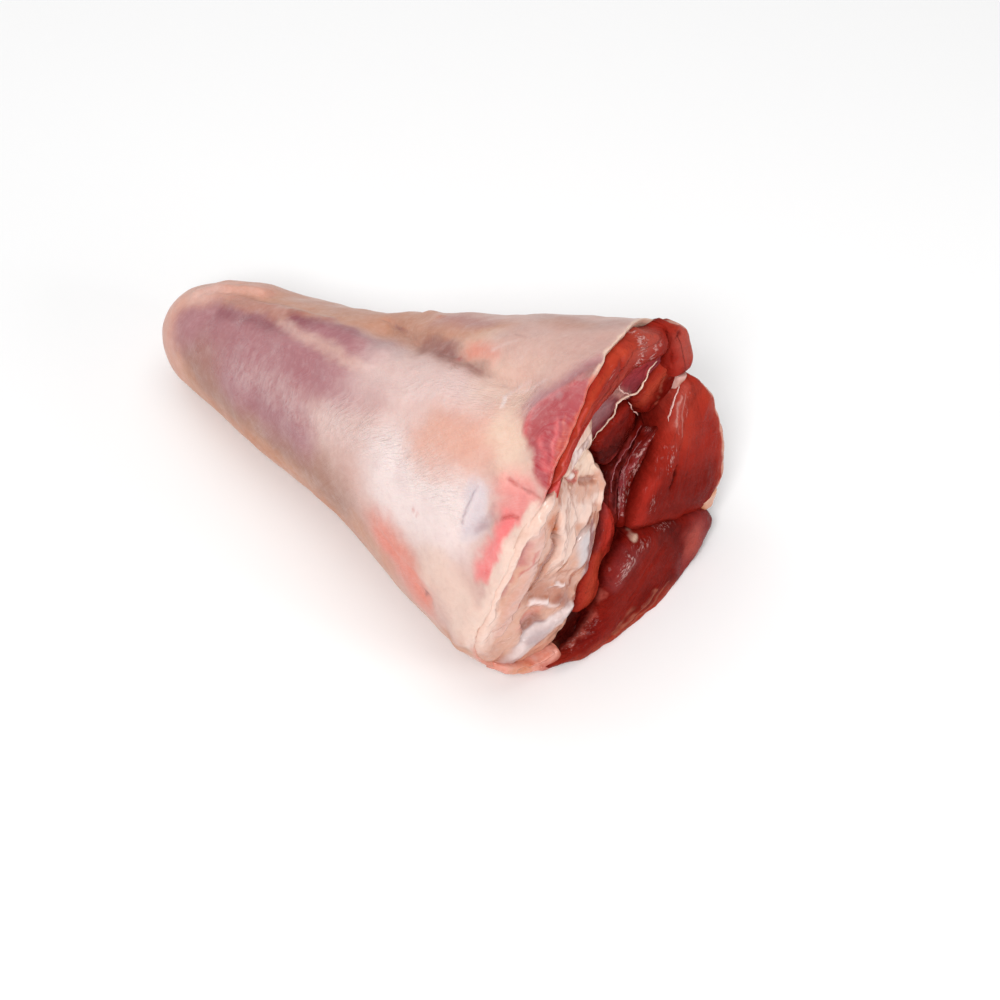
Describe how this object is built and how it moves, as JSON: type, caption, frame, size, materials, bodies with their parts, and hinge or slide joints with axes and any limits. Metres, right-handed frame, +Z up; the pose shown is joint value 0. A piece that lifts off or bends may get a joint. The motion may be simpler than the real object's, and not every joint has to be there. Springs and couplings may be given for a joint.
{
  "type": "raw lamb shank",
  "caption": "Raw lamb shank lying on its side, with pale skin, red muscle heads at the cut and a cream joint end.",
  "frame": {"origin": "under the middle of the whole shank, on the surface it lies on", "axes": "+X from the narrow ankle end to the cut, +Y across the shank, +Z up"},
  "size_m": [0.1436, 0.0858, 0.0786],
  "materials": {
    "meat": "wet raw meat: deep red muscle at the cut, pale pink to mauve skin with a moist sheen",
    "bone": "cream to bluish white cartilage, ligament and bone, moist"
  },
  "bodies": {
    "root": {"meat": "meat", "bone": "bone"}
  },
  "joints": []
}
